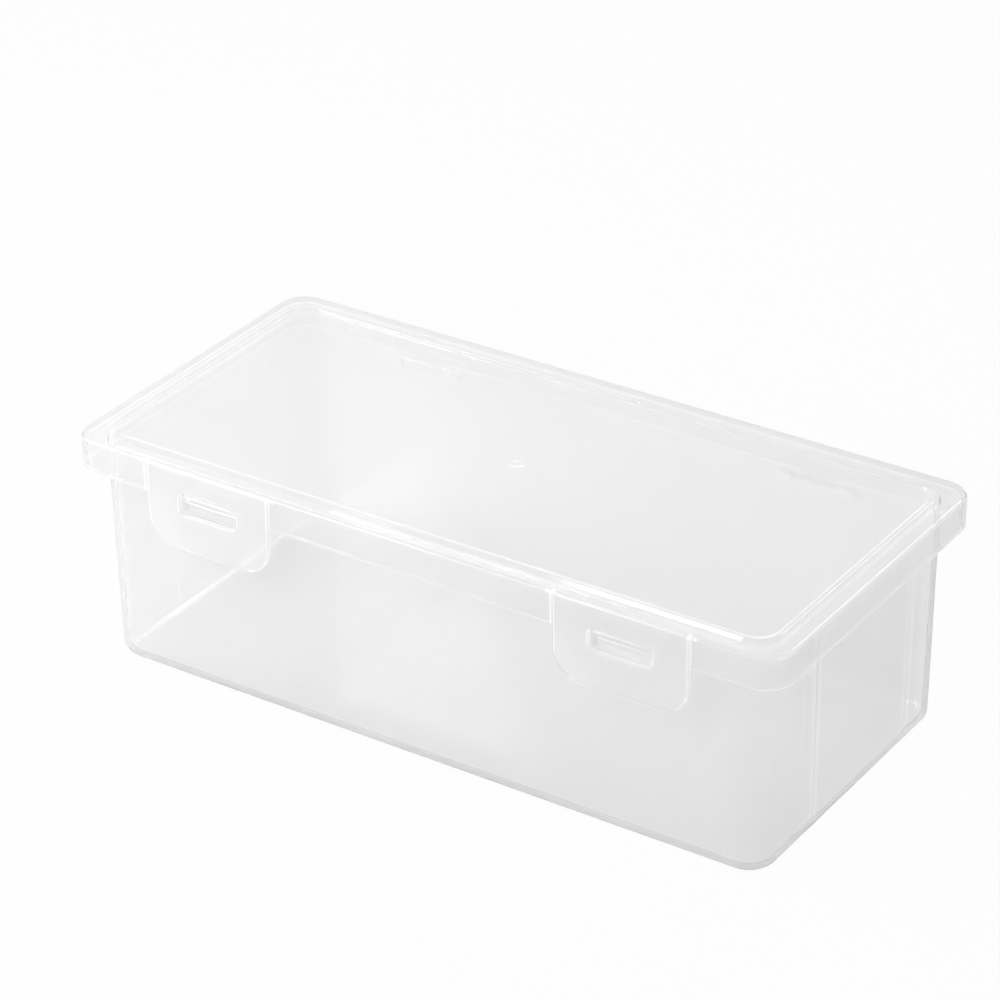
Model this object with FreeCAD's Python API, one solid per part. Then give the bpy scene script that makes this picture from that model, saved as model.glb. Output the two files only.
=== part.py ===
import FreeCAD
import Part
import math
import os

# A clear moulded storage box with a hinged lid and two front latches.
# Millimetres. X runs along the length, the front faces -Y and Z is up.
# The origin is the centre of the flat underside.

# Whole box, closed
lid_length = 190.0
lid_depth = 90.0
total_height = 60.0

# Lid: a flat panel inside a raised crest, a shoulder, and a skirt
lid_corner_radius = 7.0
lid_plate = 1.2            # panel thickness
crest_rise = 0.5           # crest above the shoulder
panel_drop = 0.8           # panel below the crest
crest_inset = 4.0          # lid edge to the crest's foot
crest_ramp = 1.2           # foot to the crest's flat
crest_width = 1.4          # the crest's flat
crest_corner_radius = 7.5
crest_round = 0.35         # round on the crest's edges
edge_round = 0.8           # round on the lid's upper edge
skirt_wall = 1.2
skirt_height = 8.2         # shoulder to the skirt's lower edge
skirt_edge_round = 0.35
gate_radius = 2.0          # shallow dish left by the moulding gate
gate_depth = 0.25
gate_nub_radius = 0.7

# Box: drafted walls that reach up inside the skirt
front_gap = 2.15           # skirt's inner face to the front wall, at the rim
end_gap = 3.55             # skirt's inner face to the end wall, at the rim
wall_draft = 0.55          # each wall leans out this much up to the rim
wall = 1.4
floor = 1.5
wall_corner_radius = 7.2
base_round = 3.4           # round along the outer bottom edge
inner_round = 2.0          # round along the inner bottom edge
rim_clearance = 0.2        # rim to the underside of the lid
rim_round = 0.35

# Shallow recess in each end wall, under the skirt
recess_width = 51.0
recess_flank = 8.9         # sloped flank at the front, edge to bed
recess_step = 0.4          # run of the bed's front and rear steps
recess_depth_high = 1.0
recess_depth_low = 0.5
recess_bed_share = 0.5     # the bed's depth, of the flank's depth

# Front latches: flaps that swing on pegs in the lid's edge
latch_end_gap = 22.2       # lid's end to the flap's side
latch_width = 34.4
latch_drop = 21.2          # shoulder to the flap's lower edge
latch_plate = 1.15
latch_corner_radius = 7.0
latch_edge_round = 0.3     # round on the flap's front edges
latch_side_gap = 0.15      # flap to the end of its notch
peg_radius = 0.4
peg_length = 1.5
pivot_clearance = 0.09     # round the pegs and the flap's bead
slot_width = 16.0
slot_height = 5.2
slot_drop = 6.6            # shoulder to the slot's upper edge
slot_corner_radius = 1.3

# Catches on the front wall, one in each slot
catch_tip_gap = 0.2        # catch to the back of the hanging flap
catch_side_gap = 0.7
catch_hook_gap = 0.4       # catch to the slot's lower edge
catch_head_gap = 1.0       # catch to the slot's upper edge
catch_land_share = 0.65    # upright part of the catch's face
catch_round = 0.25

# Rear hinges: a lid knuckle between two box lugs, on a pin
hinge_end_gap = 29.6       # lid's end to the pin's end
hinge_drop = 1.5           # skirt's lower edge to the pin
knuckle_width = 12.0
knuckle_radius = 1.1
lug_width = 4.0
hinge_gap = 0.4            # knuckle to each lug
pin_radius = 0.55
pin_press_clearance = 0.02 # pin in the lugs
pin_run_clearance = 0.08   # pin in the knuckle

overrun = 1.0              # cuts and joins run past the faces by this much

# Heights and half sizes that the pieces share
shoulder_top = total_height - crest_rise
panel_top = total_height - panel_drop
lid_underside = panel_top - lid_plate
skirt_low = shoulder_top - skirt_height
skirt_inner = lid_depth / 2 - skirt_wall
rim_top = lid_underside - rim_clearance
rim_length = lid_length - 2 * (skirt_wall + end_gap)
rim_depth = lid_depth - 2 * (skirt_wall + front_gap)
pivot_out = lid_depth / 2 - edge_round
pivot_height = shoulder_top - edge_round
latch_back = lid_depth / 2 - latch_plate
slot_high = shoulder_top - slot_drop
slot_low = slot_high - slot_height
hinge_y = lid_depth / 2 - knuckle_radius
hinge_z = skirt_low - hinge_drop
pin_reach = knuckle_width + 2 * (hinge_gap + lug_width)
latch_x = lid_length / 2 - latch_end_gap - latch_width / 2
hinge_x = lid_length / 2 - hinge_end_gap - pin_reach / 2
sides = {"left": -1, "right": 1}


def vec(x, y, z):
    return FreeCAD.Vector(x, y, z)


def wall_length(z):
    return rim_length - 2 * wall_draft * (rim_top - z) / rim_top


def wall_depth(z):
    return rim_depth - 2 * wall_draft * (rim_top - z) / rim_top


# Closed outline of a rectangle with round corners, flat at height z
def rounded_wire(length, depth, radius, z):
    edges = []
    straight_x = length / 2 - radius
    straight_y = depth / 2 - radius
    turn = math.pi / 2
    centres = [(1, 1), (-1, 1), (-1, -1), (1, -1)]
    ends = []
    for index, (sign_x, sign_y) in enumerate(centres):
        points = []
        for step in (index * turn, (index + 1 / 2) * turn, (index + 1) * turn):
            x = sign_x * straight_x + radius * math.cos(step)
            y = sign_y * straight_y + radius * math.sin(step)
            points.append(vec(x, y, z))
        ends.append(points)
    for index, points in enumerate(ends):
        edges.append(Part.Arc(*points).toShape())
        follower = ends[(index + 1) % len(ends)]
        edges.append(Part.LineSegment(points[-1], follower[0]).toShape())
    return Part.Wire(edges)


def rounded_block(length, depth, radius, low, high):
    base = Part.Face(rounded_wire(length, depth, radius, low))
    return base.extrude(vec(0, 0, high - low))


# Block centred on x, between two depths and two heights
def cross_block(x, width, near, far, low, high):
    return Part.makeBox(width, far - near, high - low, vec(x - width / 2, near, low))


# Round bar along X, centred on x
def cross_bar(x, width, radius, y, z):
    return Part.makeCylinder(radius, width, vec(x - width / 2, y, z), vec(1, 0, 0))


def flat_edges(shape, z):
    near = overrun / 100
    return [e for e in shape.Edges if all(abs(v.Point.z - z) < near for v in e.Vertexes)]


def lid_shell():
    block = rounded_block(lid_length, lid_depth, lid_corner_radius, skirt_low, shoulder_top)
    block = block.makeFillet(edge_round, flat_edges(block, shoulder_top))
    hollow_length = lid_length - 2 * skirt_wall
    hollow_radius = lid_corner_radius - skirt_wall
    hollow = rounded_block(hollow_length, 2 * skirt_inner, hollow_radius, skirt_low - overrun, lid_underside)
    shell = block.cut(hollow)
    shell = shell.makeFillet(skirt_edge_round, flat_edges(shell, skirt_low))
    sink = crest_rise / 2
    foot = 2 * (crest_inset - crest_ramp * sink / crest_rise)
    flat = 2 * (crest_inset + crest_ramp)
    foot_radius = crest_corner_radius + crest_ramp * sink / crest_rise
    flat_radius = crest_corner_radius - crest_ramp
    foot_wire = rounded_wire(lid_length - foot, lid_depth - foot, foot_radius, shoulder_top - sink)
    flat_wire = rounded_wire(lid_length - flat, lid_depth - flat, flat_radius, total_height)
    crest = Part.makeLoft([foot_wire, flat_wire], True, True)
    inside = flat + 2 * crest_width
    inside_radius = flat_radius - crest_width
    panel = rounded_block(lid_length - inside, lid_depth - inside, inside_radius, panel_top, total_height + overrun)
    shell = shell.fuse(crest).cut(panel)
    shell = shell.makeFillet(crest_round, flat_edges(shell, total_height))
    gate = Part.makeCylinder(gate_radius, gate_depth + overrun, vec(0, 0, panel_top - gate_depth))
    nub = Part.makeCylinder(gate_nub_radius, lid_plate, vec(0, 0, lid_underside))
    return shell.cut(gate).fuse(nub)


# What a latch needs taken out of the lid's front edge
def latch_notch(x):
    width = latch_width + 2 * latch_side_gap
    front = -lid_depth / 2 - overrun
    opening = cross_block(x, width, front, -pivot_out, skirt_low - overrun, total_height + overrun)
    skirt_gap = cross_block(x, width, front, -skirt_inner + overrun, skirt_low - overrun, lid_underside)
    groove = cross_bar(x, width, edge_round + pivot_clearance, -pivot_out, pivot_height)
    socket_width = width + 2 * peg_length
    sockets = cross_bar(x, socket_width, peg_radius + pivot_clearance, -pivot_out, pivot_height)
    return [opening, skirt_gap, groove, sockets]


# Arm that runs down from the rear skirt to a knuckle
def lid_arm(x):
    blade = cross_block(x, knuckle_width, skirt_inner, lid_depth / 2, hinge_z, skirt_low + skirt_wall)
    return [blade, cross_bar(x, knuckle_width, knuckle_radius, hinge_y, hinge_z)]


def make_lid():
    lid = lid_shell()
    for side in sides.values():
        lid = lid.cut(latch_notch(side * latch_x))
        lid = lid.fuse(lid_arm(side * hinge_x))
    bore_width = knuckle_width + 2 * overrun
    bore = pin_radius + pin_run_clearance
    for side in sides.values():
        lid = lid.cut(cross_bar(side * hinge_x, bore_width, bore, hinge_y, hinge_z))
    return lid.removeSplitter()


# Upright outline in the XZ plane with its lower corners rounded, extruded towards the back
def flap_plate(x):
    left = x - latch_width / 2
    right = x + latch_width / 2
    low = shoulder_top - latch_drop
    front = -lid_depth / 2
    radius = latch_corner_radius
    cut_in = radius * (1 - math.cos(math.pi / 4))
    top_left = vec(left, front, pivot_height)
    top_right = vec(right, front, pivot_height)
    side_right = vec(right, front, low + radius)
    side_left = vec(left, front, low + radius)
    foot_right = vec(right - radius, front, low)
    foot_left = vec(left + radius, front, low)
    turn_right = vec(right - cut_in, front, low + cut_in)
    turn_left = vec(left + cut_in, front, low + cut_in)
    edges = [Part.LineSegment(top_left, top_right), Part.LineSegment(top_right, side_right)]
    edges.append(Part.Arc(side_right, turn_right, foot_right))
    edges.append(Part.LineSegment(foot_right, foot_left))
    edges.append(Part.Arc(foot_left, turn_left, side_left))
    edges.append(Part.LineSegment(side_left, top_left))
    outline = Part.Wire([edge.toShape() for edge in edges])
    return Part.Face(outline).extrude(vec(0, latch_plate, 0))


def latch_slot(x):
    thick = latch_plate + 2 * overrun
    flat = rounded_block(slot_width, slot_height, slot_corner_radius, 0, thick)
    flat.rotate(vec(0, 0, 0), vec(1, 0, 0), 90)
    flat.translate(vec(x, -latch_back + overrun, (slot_low + slot_high) / 2))
    return flat


def make_latch(side):
    x = side * latch_x
    front = -lid_depth / 2
    plate = flap_plate(x).cut(latch_slot(x))
    near = overrun / 100
    face = [e for e in plate.Edges if all(abs(v.Point.y - front) < near for v in e.Vertexes)]
    top = flat_edges(plate, pivot_height)
    rims = [e for e in face if not any(e.isSame(t) for t in top)]
    plate = plate.makeFillet(latch_edge_round, rims)
    bead = cross_bar(x, latch_width, edge_round, -pivot_out, pivot_height)
    reach = latch_width + 2 * peg_length
    pegs = cross_bar(x, reach, peg_radius, -pivot_out, pivot_height)
    return plate.fuse([bead, pegs]).removeSplitter()


# Trough against one end wall: a flank that slopes in from the front, a step up to a flat bed,
# and a step up at the rear. It reaches past the wall by its own depth.
def end_recess(side):
    wires = []
    half = recess_width / 2
    bed = half - recess_flank
    spread = recess_flank - recess_step
    for z, depth in ((0, recess_depth_low), (skirt_low, recess_depth_high)):
        face = wall_length(z) / 2
        rest = depth * recess_bed_share
        points = [(face + depth, -half - spread), (face - depth, -bed - recess_step), (face - rest, -bed)]
        points += [(face - rest, half - recess_step), (face + rest, half + recess_step)]
        corners = [vec(side * x, y, z) for x, y in points]
        wires.append(Part.makePolygon(corners + corners[:1]))
    return Part.makeLoft(wires, True, True)


def box_shell():
    low_wire = rounded_wire(wall_length(0), wall_depth(0), wall_corner_radius, 0)
    high_wire = rounded_wire(rim_length, rim_depth, wall_corner_radius, rim_top)
    body = Part.makeLoft([low_wire, high_wire], True, True)
    return body.makeFillet(base_round, flat_edges(body, 0))


# Space inside the box, with the end walls' recesses pressed through at one wall thickness
def box_cavity():
    mouth = rim_top + overrun
    radius = wall_corner_radius - wall
    thick = 2 * wall
    low_wire = rounded_wire(wall_length(floor) - thick, wall_depth(floor) - thick, radius, floor)
    high_wire = rounded_wire(wall_length(mouth) - thick, wall_depth(mouth) - thick, radius, mouth)
    cavity = Part.makeLoft([low_wire, high_wire], True, True)
    cavity = cavity.makeFillet(inner_round, flat_edges(cavity, floor))
    for side in sides.values():
        pad = end_recess(side)
        pad.translate(vec(-side * wall, 0, 0))
        cavity = cavity.cut(pad)
    return cavity


# Hook on the front wall: flat underneath, upright face, sloped top
def box_catch(x):
    width = slot_width - 2 * catch_side_gap
    low = slot_low + catch_hook_gap
    high = slot_high - catch_head_gap
    land = low + catch_land_share * (high - low)
    tip = -latch_back + catch_tip_gap
    root = -wall_depth(low) / 2 + wall / 2
    brow = (tip + root) / 2
    left = x - width / 2
    points = [(root, low), (tip, low), (tip, land), (brow, high), (root, high)]
    corners = [vec(left, y, z) for y, z in points]
    profile = Part.Face(Part.makePolygon(corners + corners[:1]))
    hook = profile.extrude(vec(width, 0, 0))
    front = [e for e in hook.Edges if all(v.Point.y < brow + overrun / 100 for v in e.Vertexes)]
    return hook.makeFillet(catch_round, front)


# Two lugs on the rear wall, one on each side of a knuckle
def hinge_lugs(x):
    pieces = []
    root = wall_depth(hinge_z) / 2 - wall / 2
    low = hinge_z - knuckle_radius
    high = hinge_z + knuckle_radius
    for side in sides.values():
        middle = x + side * (knuckle_width / 2 + hinge_gap + lug_width / 2)
        pieces.append(cross_block(middle, lug_width, root, hinge_y, low, high))
        pieces.append(cross_bar(middle, lug_width, knuckle_radius, hinge_y, hinge_z))
    return pieces


def make_box():
    box = box_shell()
    for side in sides.values():
        box = box.cut(end_recess(side))
    box = box.cut(box_cavity())
    box = box.makeFillet(rim_round, flat_edges(box, rim_top))
    bore = pin_radius + pin_press_clearance
    bore_width = pin_reach + 2 * overrun
    for side in sides.values():
        box = box.fuse(box_catch(side * latch_x))
        box = box.fuse(hinge_lugs(side * hinge_x))
        box = box.cut(cross_bar(side * hinge_x, bore_width, bore, hinge_y, hinge_z))
    return box.removeSplitter()


def make_pin(side):
    return cross_bar(side * hinge_x, pin_reach, pin_radius, hinge_y, hinge_z)


pieces = {"box_body": make_box(), "lid": make_lid()}
for name, side in sides.items():
    pieces["latch_" + name] = make_latch(side)
    pieces["hinge_pin_" + name] = make_pin(side)

os.makedirs("parts", exist_ok=True)
for name, shape in pieces.items():
    box = shape.BoundBox
    print(name, "solids", len(shape.Solids), "valid", shape.isValid(), "volume", round(shape.Volume, 2))
    print("  x", round(box.XMin, 2), round(box.XMax, 2), "y", round(box.YMin, 2), round(box.YMax, 2))
    print("  z", round(box.ZMin, 2), round(box.ZMax, 2))
    shape.exportStep("parts/" + name + ".step")
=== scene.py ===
import bpy
import math
from mathutils import Matrix, Vector

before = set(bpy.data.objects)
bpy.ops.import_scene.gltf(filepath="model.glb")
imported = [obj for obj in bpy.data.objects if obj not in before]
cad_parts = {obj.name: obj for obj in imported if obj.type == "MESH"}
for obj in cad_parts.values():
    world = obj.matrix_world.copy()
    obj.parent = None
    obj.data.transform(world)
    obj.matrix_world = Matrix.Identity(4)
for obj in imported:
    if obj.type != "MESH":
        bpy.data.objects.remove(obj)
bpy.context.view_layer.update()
scene = bpy.context.scene
scene.view_settings.view_transform = "Standard"
clearBounces = 24  # clear walls stand behind one another
scene.cycles.max_bounces = clearBounces
scene.cycles.transmission_bounces = clearBounces
print("frame loaded", sorted(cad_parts))

# Shared plastic effects

def grey(level):
    return (level, level, level, 1)


def newGroup(name, inputs, outputs):
    group = bpy.data.node_groups.new(name, "ShaderNodeTree")
    for label, kind, value in inputs:
        socket = group.interface.new_socket(label, in_out="INPUT", socket_type=kind)
        socket.default_value = value
    for label, kind in outputs:
        group.interface.new_socket(label, in_out="OUTPUT", socket_type=kind)
    return group, group.nodes.new("NodeGroupInput"), group.nodes.new("NodeGroupOutput")


def mathNode(nodes, links, operation, *values):
    node = nodes.new("ShaderNodeMath")
    node.operation = operation
    for socket, value in zip(node.inputs, values):
        if isinstance(value, (int, float)):
            socket.default_value = value
        else:
            links.new(value, socket)
    return node.outputs["Value"]


def dotNode(nodes, links, first, second):
    node = nodes.new("ShaderNodeVectorMath")
    node.operation = "DOT_PRODUCT"
    links.new(first, node.inputs[0])
    links.new(second, node.inputs[1])
    return node.outputs["Value"]


def rangeNode(nodes, links, value, low, high, smooth):
    node = nodes.new("ShaderNodeMapRange")
    node.interpolation_type = "SMOOTHSTEP" if smooth else "LINEAR"
    node.inputs["From Min"].default_value = low
    node.inputs["From Max"].default_value = high
    links.new(value, node.inputs["Value"])
    return node.outputs["Result"]


def colorMix(nodes, links, share, first, second):
    node = nodes.new("ShaderNodeMix")
    node.data_type = "RGBA"
    links.new(share, node.inputs["Factor"])
    for label, color in (("A", first), ("B", second)):
        if isinstance(color, tuple):
            node.inputs[label].default_value = color
        else:
            links.new(color, node.inputs[label])
    return node.outputs["Result"]


def noiseNode(nodes, links, scale, detail):
    place = nodes.new("ShaderNodeTexCoord")
    node = nodes.new("ShaderNodeTexNoise")
    node.inputs["Detail"].default_value = detail
    links.new(place.outputs["Object"], node.inputs["Vector"])
    links.new(scale, node.inputs["Scale"])
    return node.outputs["Fac"]


hazeLook = {"cloudScale": 18.0, "cloudDetail": 3, "rippleScale": 70.0, "rippleDetail": 2,
            "rippleHeight": 0.0002, "hazeSpread": 0.08}


# Faint clouds, uneven haze and a slow ripple of the moulded surface
def mouldedHazeGroup():
    inputs = [("Tint", "NodeSocketColor", grey(1)), ("Cloud Tint", "NodeSocketColor", grey(1))]
    inputs += [("Cloud Scale", "NodeSocketFloat", hazeLook["cloudScale"])]
    inputs += [("Ripple Scale", "NodeSocketFloat", hazeLook["rippleScale"])]
    inputs += [("Haze", "NodeSocketFloat", 0), ("Haze Spread", "NodeSocketFloat", hazeLook["hazeSpread"])]
    outputs = [("Color", "NodeSocketColor"), ("Roughness", "NodeSocketFloat")]
    outputs += [("Height", "NodeSocketFloat")]
    group, start, end = newGroup("mouldedHaze", inputs, outputs)
    nodes, links = group.nodes, group.links
    given = start.outputs
    cloud = noiseNode(nodes, links, given["Cloud Scale"], hazeLook["cloudDetail"])
    ripple = noiseNode(nodes, links, given["Ripple Scale"], hazeLook["rippleDetail"])
    rough = mathNode(nodes, links, "MULTIPLY_ADD", cloud, given["Haze Spread"], given["Haze"])
    links.new(colorMix(nodes, links, cloud, given["Tint"], given["Cloud Tint"]), end.inputs["Color"])
    links.new(rough, end.inputs["Roughness"])
    links.new(ripple, end.inputs["Height"])
    return group


paintedGlowMask = {"start": 0.999, "full": 0.95, "lean": 0.6, "away": (0.6, 0, -0.8)}


# Painted highlight: rounded edges that face right and down glow by emission, standing in for light from
# the upper left that clear plastic lets out along its far edges
def paintedEdgeGlowGroup():
    inputs = [("Radius", "NodeSocketFloat", 0), ("Light", "NodeSocketColor", grey(0))]
    inputs += [("Away", "NodeSocketVector", paintedGlowMask["away"])]
    group, start, end = newGroup("paintedEdgeGlow", inputs, [("Color", "NodeSocketColor")])
    nodes, links = group.nodes, group.links
    flat = nodes.new("ShaderNodeNewGeometry").outputs["Normal"]
    bevel = nodes.new("ShaderNodeBevel")
    links.new(start.outputs["Radius"], bevel.inputs["Radius"])
    rounded = bevel.outputs["Normal"]
    likeness = dotNode(nodes, links, flat, rounded)
    edge = rangeNode(nodes, links, likeness, paintedGlowMask["start"], paintedGlowMask["full"], True)
    lean = dotNode(nodes, links, rounded, start.outputs["Away"])
    turned = rangeNode(nodes, links, lean, 0, paintedGlowMask["lean"], False)
    share = mathNode(nodes, links, "MULTIPLY", edge, turned)
    links.new(colorMix(nodes, links, share, grey(0), start.outputs["Light"]), end.inputs["Color"])
    return group


mouldedHaze = mouldedHazeGroup()
paintedEdgeGlow = paintedEdgeGlowGroup()


def clearPlastic(name, look):
    material = bpy.data.materials.new(name)
    material.use_nodes = True
    nodes, links = material.node_tree.nodes, material.node_tree.links
    shader = nodes["Principled BSDF"]
    shader.inputs["IOR"].default_value = look["ior"]
    shader.inputs["Transmission Weight"].default_value = look["clear"]
    shader.inputs["Coat Weight"].default_value = look["coat"]
    shader.inputs["Coat Roughness"].default_value = look["coatRough"]
    haze = nodes.new("ShaderNodeGroup")
    haze.node_tree = mouldedHaze
    haze.inputs["Tint"].default_value = grey(look["tint"])
    haze.inputs["Cloud Tint"].default_value = grey(look["cloudTint"])
    haze.inputs["Haze"].default_value = look["haze"]
    bump = nodes.new("ShaderNodeBump")
    bump.inputs["Strength"].default_value = look["ripple"]
    bump.inputs["Distance"].default_value = hazeLook["rippleHeight"]
    links.new(haze.outputs["Color"], shader.inputs["Base Color"])
    links.new(haze.outputs["Roughness"], shader.inputs["Roughness"])
    links.new(haze.outputs["Height"], bump.inputs["Height"])
    links.new(bump.outputs["Normal"], shader.inputs["Normal"])
    # painted highlight: the edges facing right and down glow by emission
    if "paintedEdgeGlow" in look:
        edges = nodes.new("ShaderNodeGroup")
        edges.node_tree = paintedEdgeGlow
        edges.inputs["Radius"].default_value = look["edgeRadius"]
        edges.inputs["Light"].default_value = grey(look["paintedEdgeGlow"])
        links.new(edges.outputs["Color"], shader.inputs["Emission Color"])
        shader.inputs["Emission Strength"].default_value = 1
    return material


# Painted shade: the box's flat underside is greyer than its walls, standing in for the shadow where the
# box rests on the floor
def paintedUnderShade(material, look):
    nodes, links = material.node_tree.nodes, material.node_tree.links
    split = nodes.new("ShaderNodeSeparateXYZ")
    links.new(nodes.new("ShaderNodeTexCoord").outputs["Object"], split.inputs["Vector"])
    # painted shade: the base colour turns grey over the lowest 0.15 mm
    level = rangeNode(nodes, links, split.outputs["Z"], look["underShadeHigh"], look["underShadeLow"], True)
    target = nodes["Principled BSDF"].inputs["Base Color"]
    wallColor = target.links[0].from_socket
    links.new(colorMix(nodes, links, level, wallColor, grey(look["underShadeTint"])), target)


boxLook = {"ior": 1.04, "clear": 0.88, "coat": 1.0, "coatRough": 0.06, "haze": 0.1, "ripple": 0.03,
           "tint": 0.997, "cloudTint": 0.985, "paintedEdgeGlow": 0.14, "edgeRadius": 0.0006,
           "underShadeTint": 0.9, "underShadeLow": 0.00003, "underShadeHigh": 0.00015}
lidLook = {"ior": 1.05, "clear": 0.93, "coat": 1.0, "coatRough": 0.06, "haze": 0.1, "ripple": 0.03,
           "tint": 0.997, "cloudTint": 0.985, "paintedEdgeGlow": 0.36, "edgeRadius": 0.0007}
latchLook = {"ior": 1.08, "clear": 0.88, "coat": 1.0, "coatRough": 0.05, "haze": 0.08, "ripple": 0.02,
             "tint": 0.997, "cloudTint": 0.985, "paintedEdgeGlow": 0.4, "edgeRadius": 0.0006}
pinLook = {"ior": 1.03, "clear": 0.95, "coat": 0.0, "coatRough": 0.08, "haze": 0.1, "ripple": 0.01,
           "tint": 0.99, "cloudTint": 0.98}
boxPlastic = clearPlastic("boxPlastic", boxLook)
# painted shade on the box's underside
paintedUnderShade(boxPlastic, boxLook)
lidPlastic = clearPlastic("lidPlastic", lidLook)
latchPlastic = clearPlastic("latchPlastic", latchLook)
pinPlastic = clearPlastic("pinPlastic", pinLook)
finishes = {"box_body": boxPlastic, "lid": lidPlastic, "latch_left": latchPlastic,
            "latch_right": latchPlastic, "hinge_pin_left": pinPlastic, "hinge_pin_right": pinPlastic}
for node, finish in finishes.items():
    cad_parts[node].data.materials.clear()
    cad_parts[node].data.materials.append(finish)
print("plastics made for", len(finishes), "pieces")

# Stage

stageLook = {"floorColor": 0.5, "floorSize": 6.0, "floorDrop": 0.0001, "whiteSeen": 0.97,
             "whiteThrough": 0.51, "world": 0.47}


# Larger of the shares for rays straight from the camera and for rays by way of the plastic
def raySight(nodes, links, direct, through):
    path = nodes.new("ShaderNodeLightPath").outputs
    passed = mathNode(nodes, links, "MAXIMUM", path["Is Glossy Ray"], path["Is Transmission Ray"])
    weaker = mathNode(nodes, links, "MULTIPLY", passed, through)
    seen = mathNode(nodes, links, "MULTIPLY", path["Is Camera Ray"], direct)
    return mathNode(nodes, links, "MAXIMUM", seen, weaker)


def whiteFloor():
    mesh = bpy.data.meshes.new("floor")
    half = stageLook["floorSize"] / 2
    corners = [(-half, -half, 0), (half, -half, 0), (half, half, 0), (-half, half, 0)]
    mesh.from_pydata(corners, [], [(0, 1, 2, 3)])
    floor = bpy.data.objects.new("floor", mesh)
    scene.collection.objects.link(floor)
    floor.location.z = -stageLook["floorDrop"]
    material = bpy.data.materials.new("floorPaper")
    material.use_nodes = True
    nodes, links = material.node_tree.nodes, material.node_tree.links
    nodes.clear()
    diffuse = nodes.new("ShaderNodeBsdfDiffuse")
    diffuse.inputs["Color"].default_value = grey(stageLook["floorColor"])
    glow = nodes.new("ShaderNodeEmission")
    mix = nodes.new("ShaderNodeMixShader")
    links.new(raySight(nodes, links, stageLook["whiteSeen"], stageLook["whiteThrough"]), mix.inputs["Fac"])
    links.new(diffuse.outputs["BSDF"], mix.inputs[1])
    links.new(glow.outputs["Emission"], mix.inputs[2])
    out = nodes.new("ShaderNodeOutputMaterial")
    links.new(mix.outputs["Shader"], out.inputs["Surface"])
    mesh.materials.append(material)


def studioWorld():
    world = bpy.data.worlds.new("studio")
    scene.world = world
    world.use_nodes = True
    nodes, links = world.node_tree.nodes, world.node_tree.links
    backdrop = nodes["Background"]
    backdrop.inputs["Color"].default_value = grey(1)
    level = nodes.new("ShaderNodeMapRange")
    level.inputs["To Min"].default_value = stageLook["world"]
    level.inputs["To Max"].default_value = 1
    links.new(raySight(nodes, links, 1, 1), level.inputs["Value"])
    links.new(level.outputs["Result"], backdrop.inputs["Strength"])


lamps = {"leftSide": {"at": (-0.4, -0.2, 0.26), "size": 0.35, "power": 2.9},
         "frontLeft": {"at": (-0.45, -0.45, 0.68), "size": 0.2, "power": 0.9},
         "rightFill": {"at": (0.6, -0.1, 0.3), "size": 0.3, "power": 0.8},
         "overLeft": {"at": (-0.33, 0.13, 0.9), "size": 0.12, "power": 0.25},
         "backTop": {"at": (0, 0.68, 0.66), "size": 0.2, "power": 0.9}}
boxMiddle = Vector((0, 0, 0.03))


def softLamp(name, lamp):
    data = bpy.data.lights.new(name, "AREA")
    data.size = lamp["size"]
    data.energy = lamp["power"]
    light = bpy.data.objects.new(name, data)
    scene.collection.objects.link(light)
    light.location = lamp["at"]
    light.rotation_mode = "QUATERNION"
    light.rotation_quaternion = (boxMiddle - Vector(lamp["at"])).to_track_quat("-Z", "Y")


whiteFloor()
studioWorld()
for name, lamp in lamps.items():
    softLamp(name, lamp)
print("stage ready with", len(lamps), "lamps")

# Camera, from a fit to the photograph's edges and outline

shot = {"azimuth": 33.93, "elevation": 29.22, "roll": -0.81, "distance": 0.88804,
        "pan": (-0.00416, 0.01682), "focalPixels": 3813.97, "imagePixels": 1000, "clipStart": 0.01}


def photoCamera():
    data = bpy.data.cameras.new("photoCamera")
    data.lens = shot["focalPixels"] / shot["imagePixels"] * data.sensor_width
    data.clip_start = shot["clipStart"]
    camera = bpy.data.objects.new("photoCamera", data)
    scene.collection.objects.link(camera)
    turn, rise, roll = (math.radians(shot[key]) for key in ("azimuth", "elevation", "roll"))
    back = Vector((math.sin(turn) * math.cos(rise), -math.cos(turn) * math.cos(rise), math.sin(rise)))
    right = Vector((math.cos(turn), math.sin(turn), 0))
    up = back.cross(right)
    across = right * math.cos(roll) + up * math.sin(roll)
    upward = up * math.cos(roll) - right * math.sin(roll)
    panX, panY = shot["pan"]
    place = boxMiddle + back * shot["distance"] + across * panX + upward * panY
    camera.matrix_world = Matrix.Translation(place) @ Matrix((across, upward, back)).transposed().to_4x4()
    scene.camera = camera


photoCamera()
print("camera ready")
